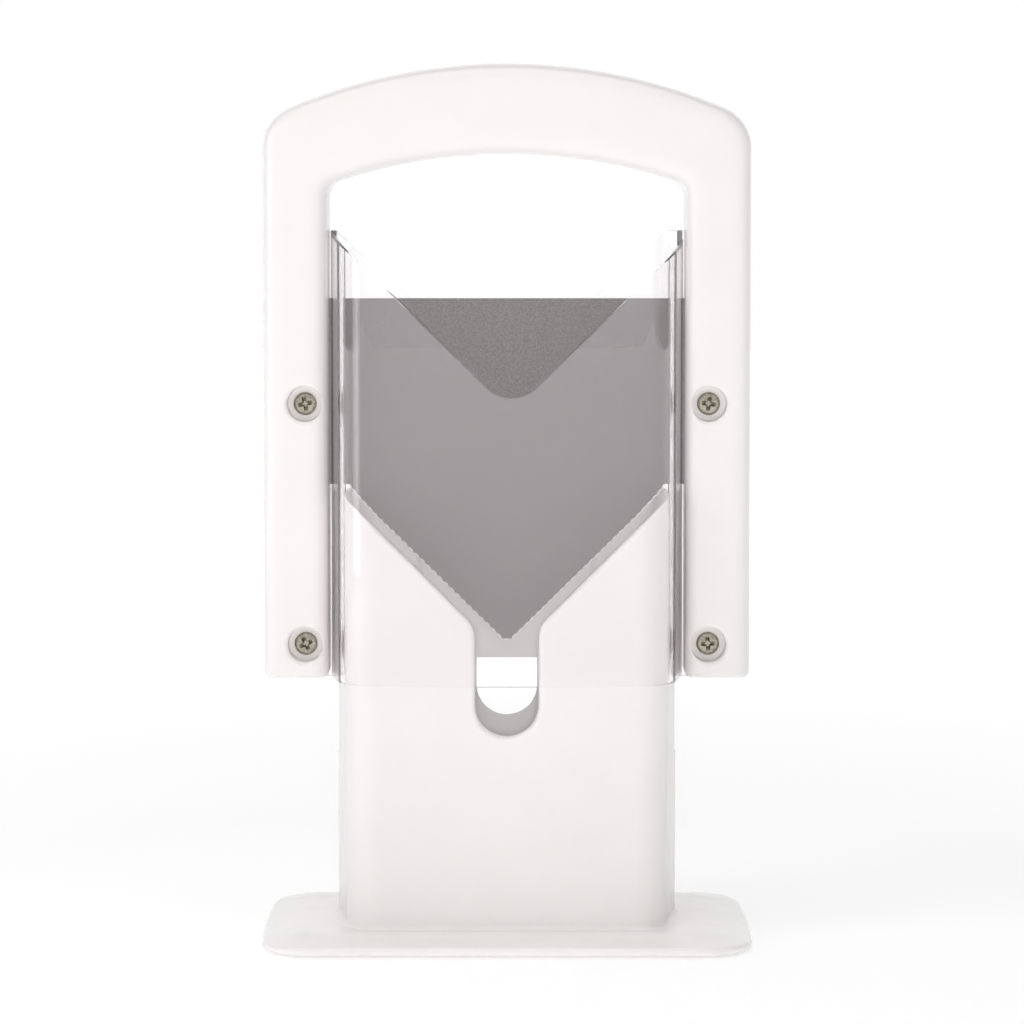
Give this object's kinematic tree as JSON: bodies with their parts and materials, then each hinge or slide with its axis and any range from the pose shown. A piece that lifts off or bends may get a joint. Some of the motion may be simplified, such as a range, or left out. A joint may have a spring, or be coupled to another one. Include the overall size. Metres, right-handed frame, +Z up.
{
  "type": "bagel slicer",
  "caption": "Guillotine-type bagel slicer: a hollow bagel holder on a wide foot, and a U-handled carrier with a V-edged blade between clear shields that slides over it.",
  "frame": {"origin": "on the surface it stands on, under the middle of the foot plate", "axes": "+Z up, the way the carrier lifts off; +X along the blade, to the right seen from the screw heads' side; -Y towards the front, where the screw heads are"},
  "size_m": [0.179, 0.102, 0.319],
  "materials": {
    "holder_white": "smooth moulded, semi-gloss",
    "handle_white": "smooth moulded, semi-gloss",
    "clear_shield": "clear, polished",
    "blade_coating": "grey non-stick coating, fine speckle, satin",
    "screw_plating": "bright nickel plating",
    "pad_rubber": "matt"
  },
  "bodies": {
    "holder": {"holder": "holder_white", "foot_1": "pad_rubber", "foot_2": "pad_rubber", "foot_3": "pad_rubber", "foot_4": "pad_rubber"},
    "carrier": {"handle_front": "handle_white", "handle_rear": "handle_white", "blade": "blade_coating", "shield_front": "clear_shield", "shield_rear": "clear_shield", "screw_1": "screw_plating", "screw_2": "screw_plating", "screw_3": "screw_plating", "screw_4": "screw_plating"}
  },
  "joints": [
    {"name": "carrier_slide", "type": "slide", "parent": "holder", "child": "carrier", "axis": [0, 0, 1], "range_m": [-0.086, 0.075]}
  ]
}
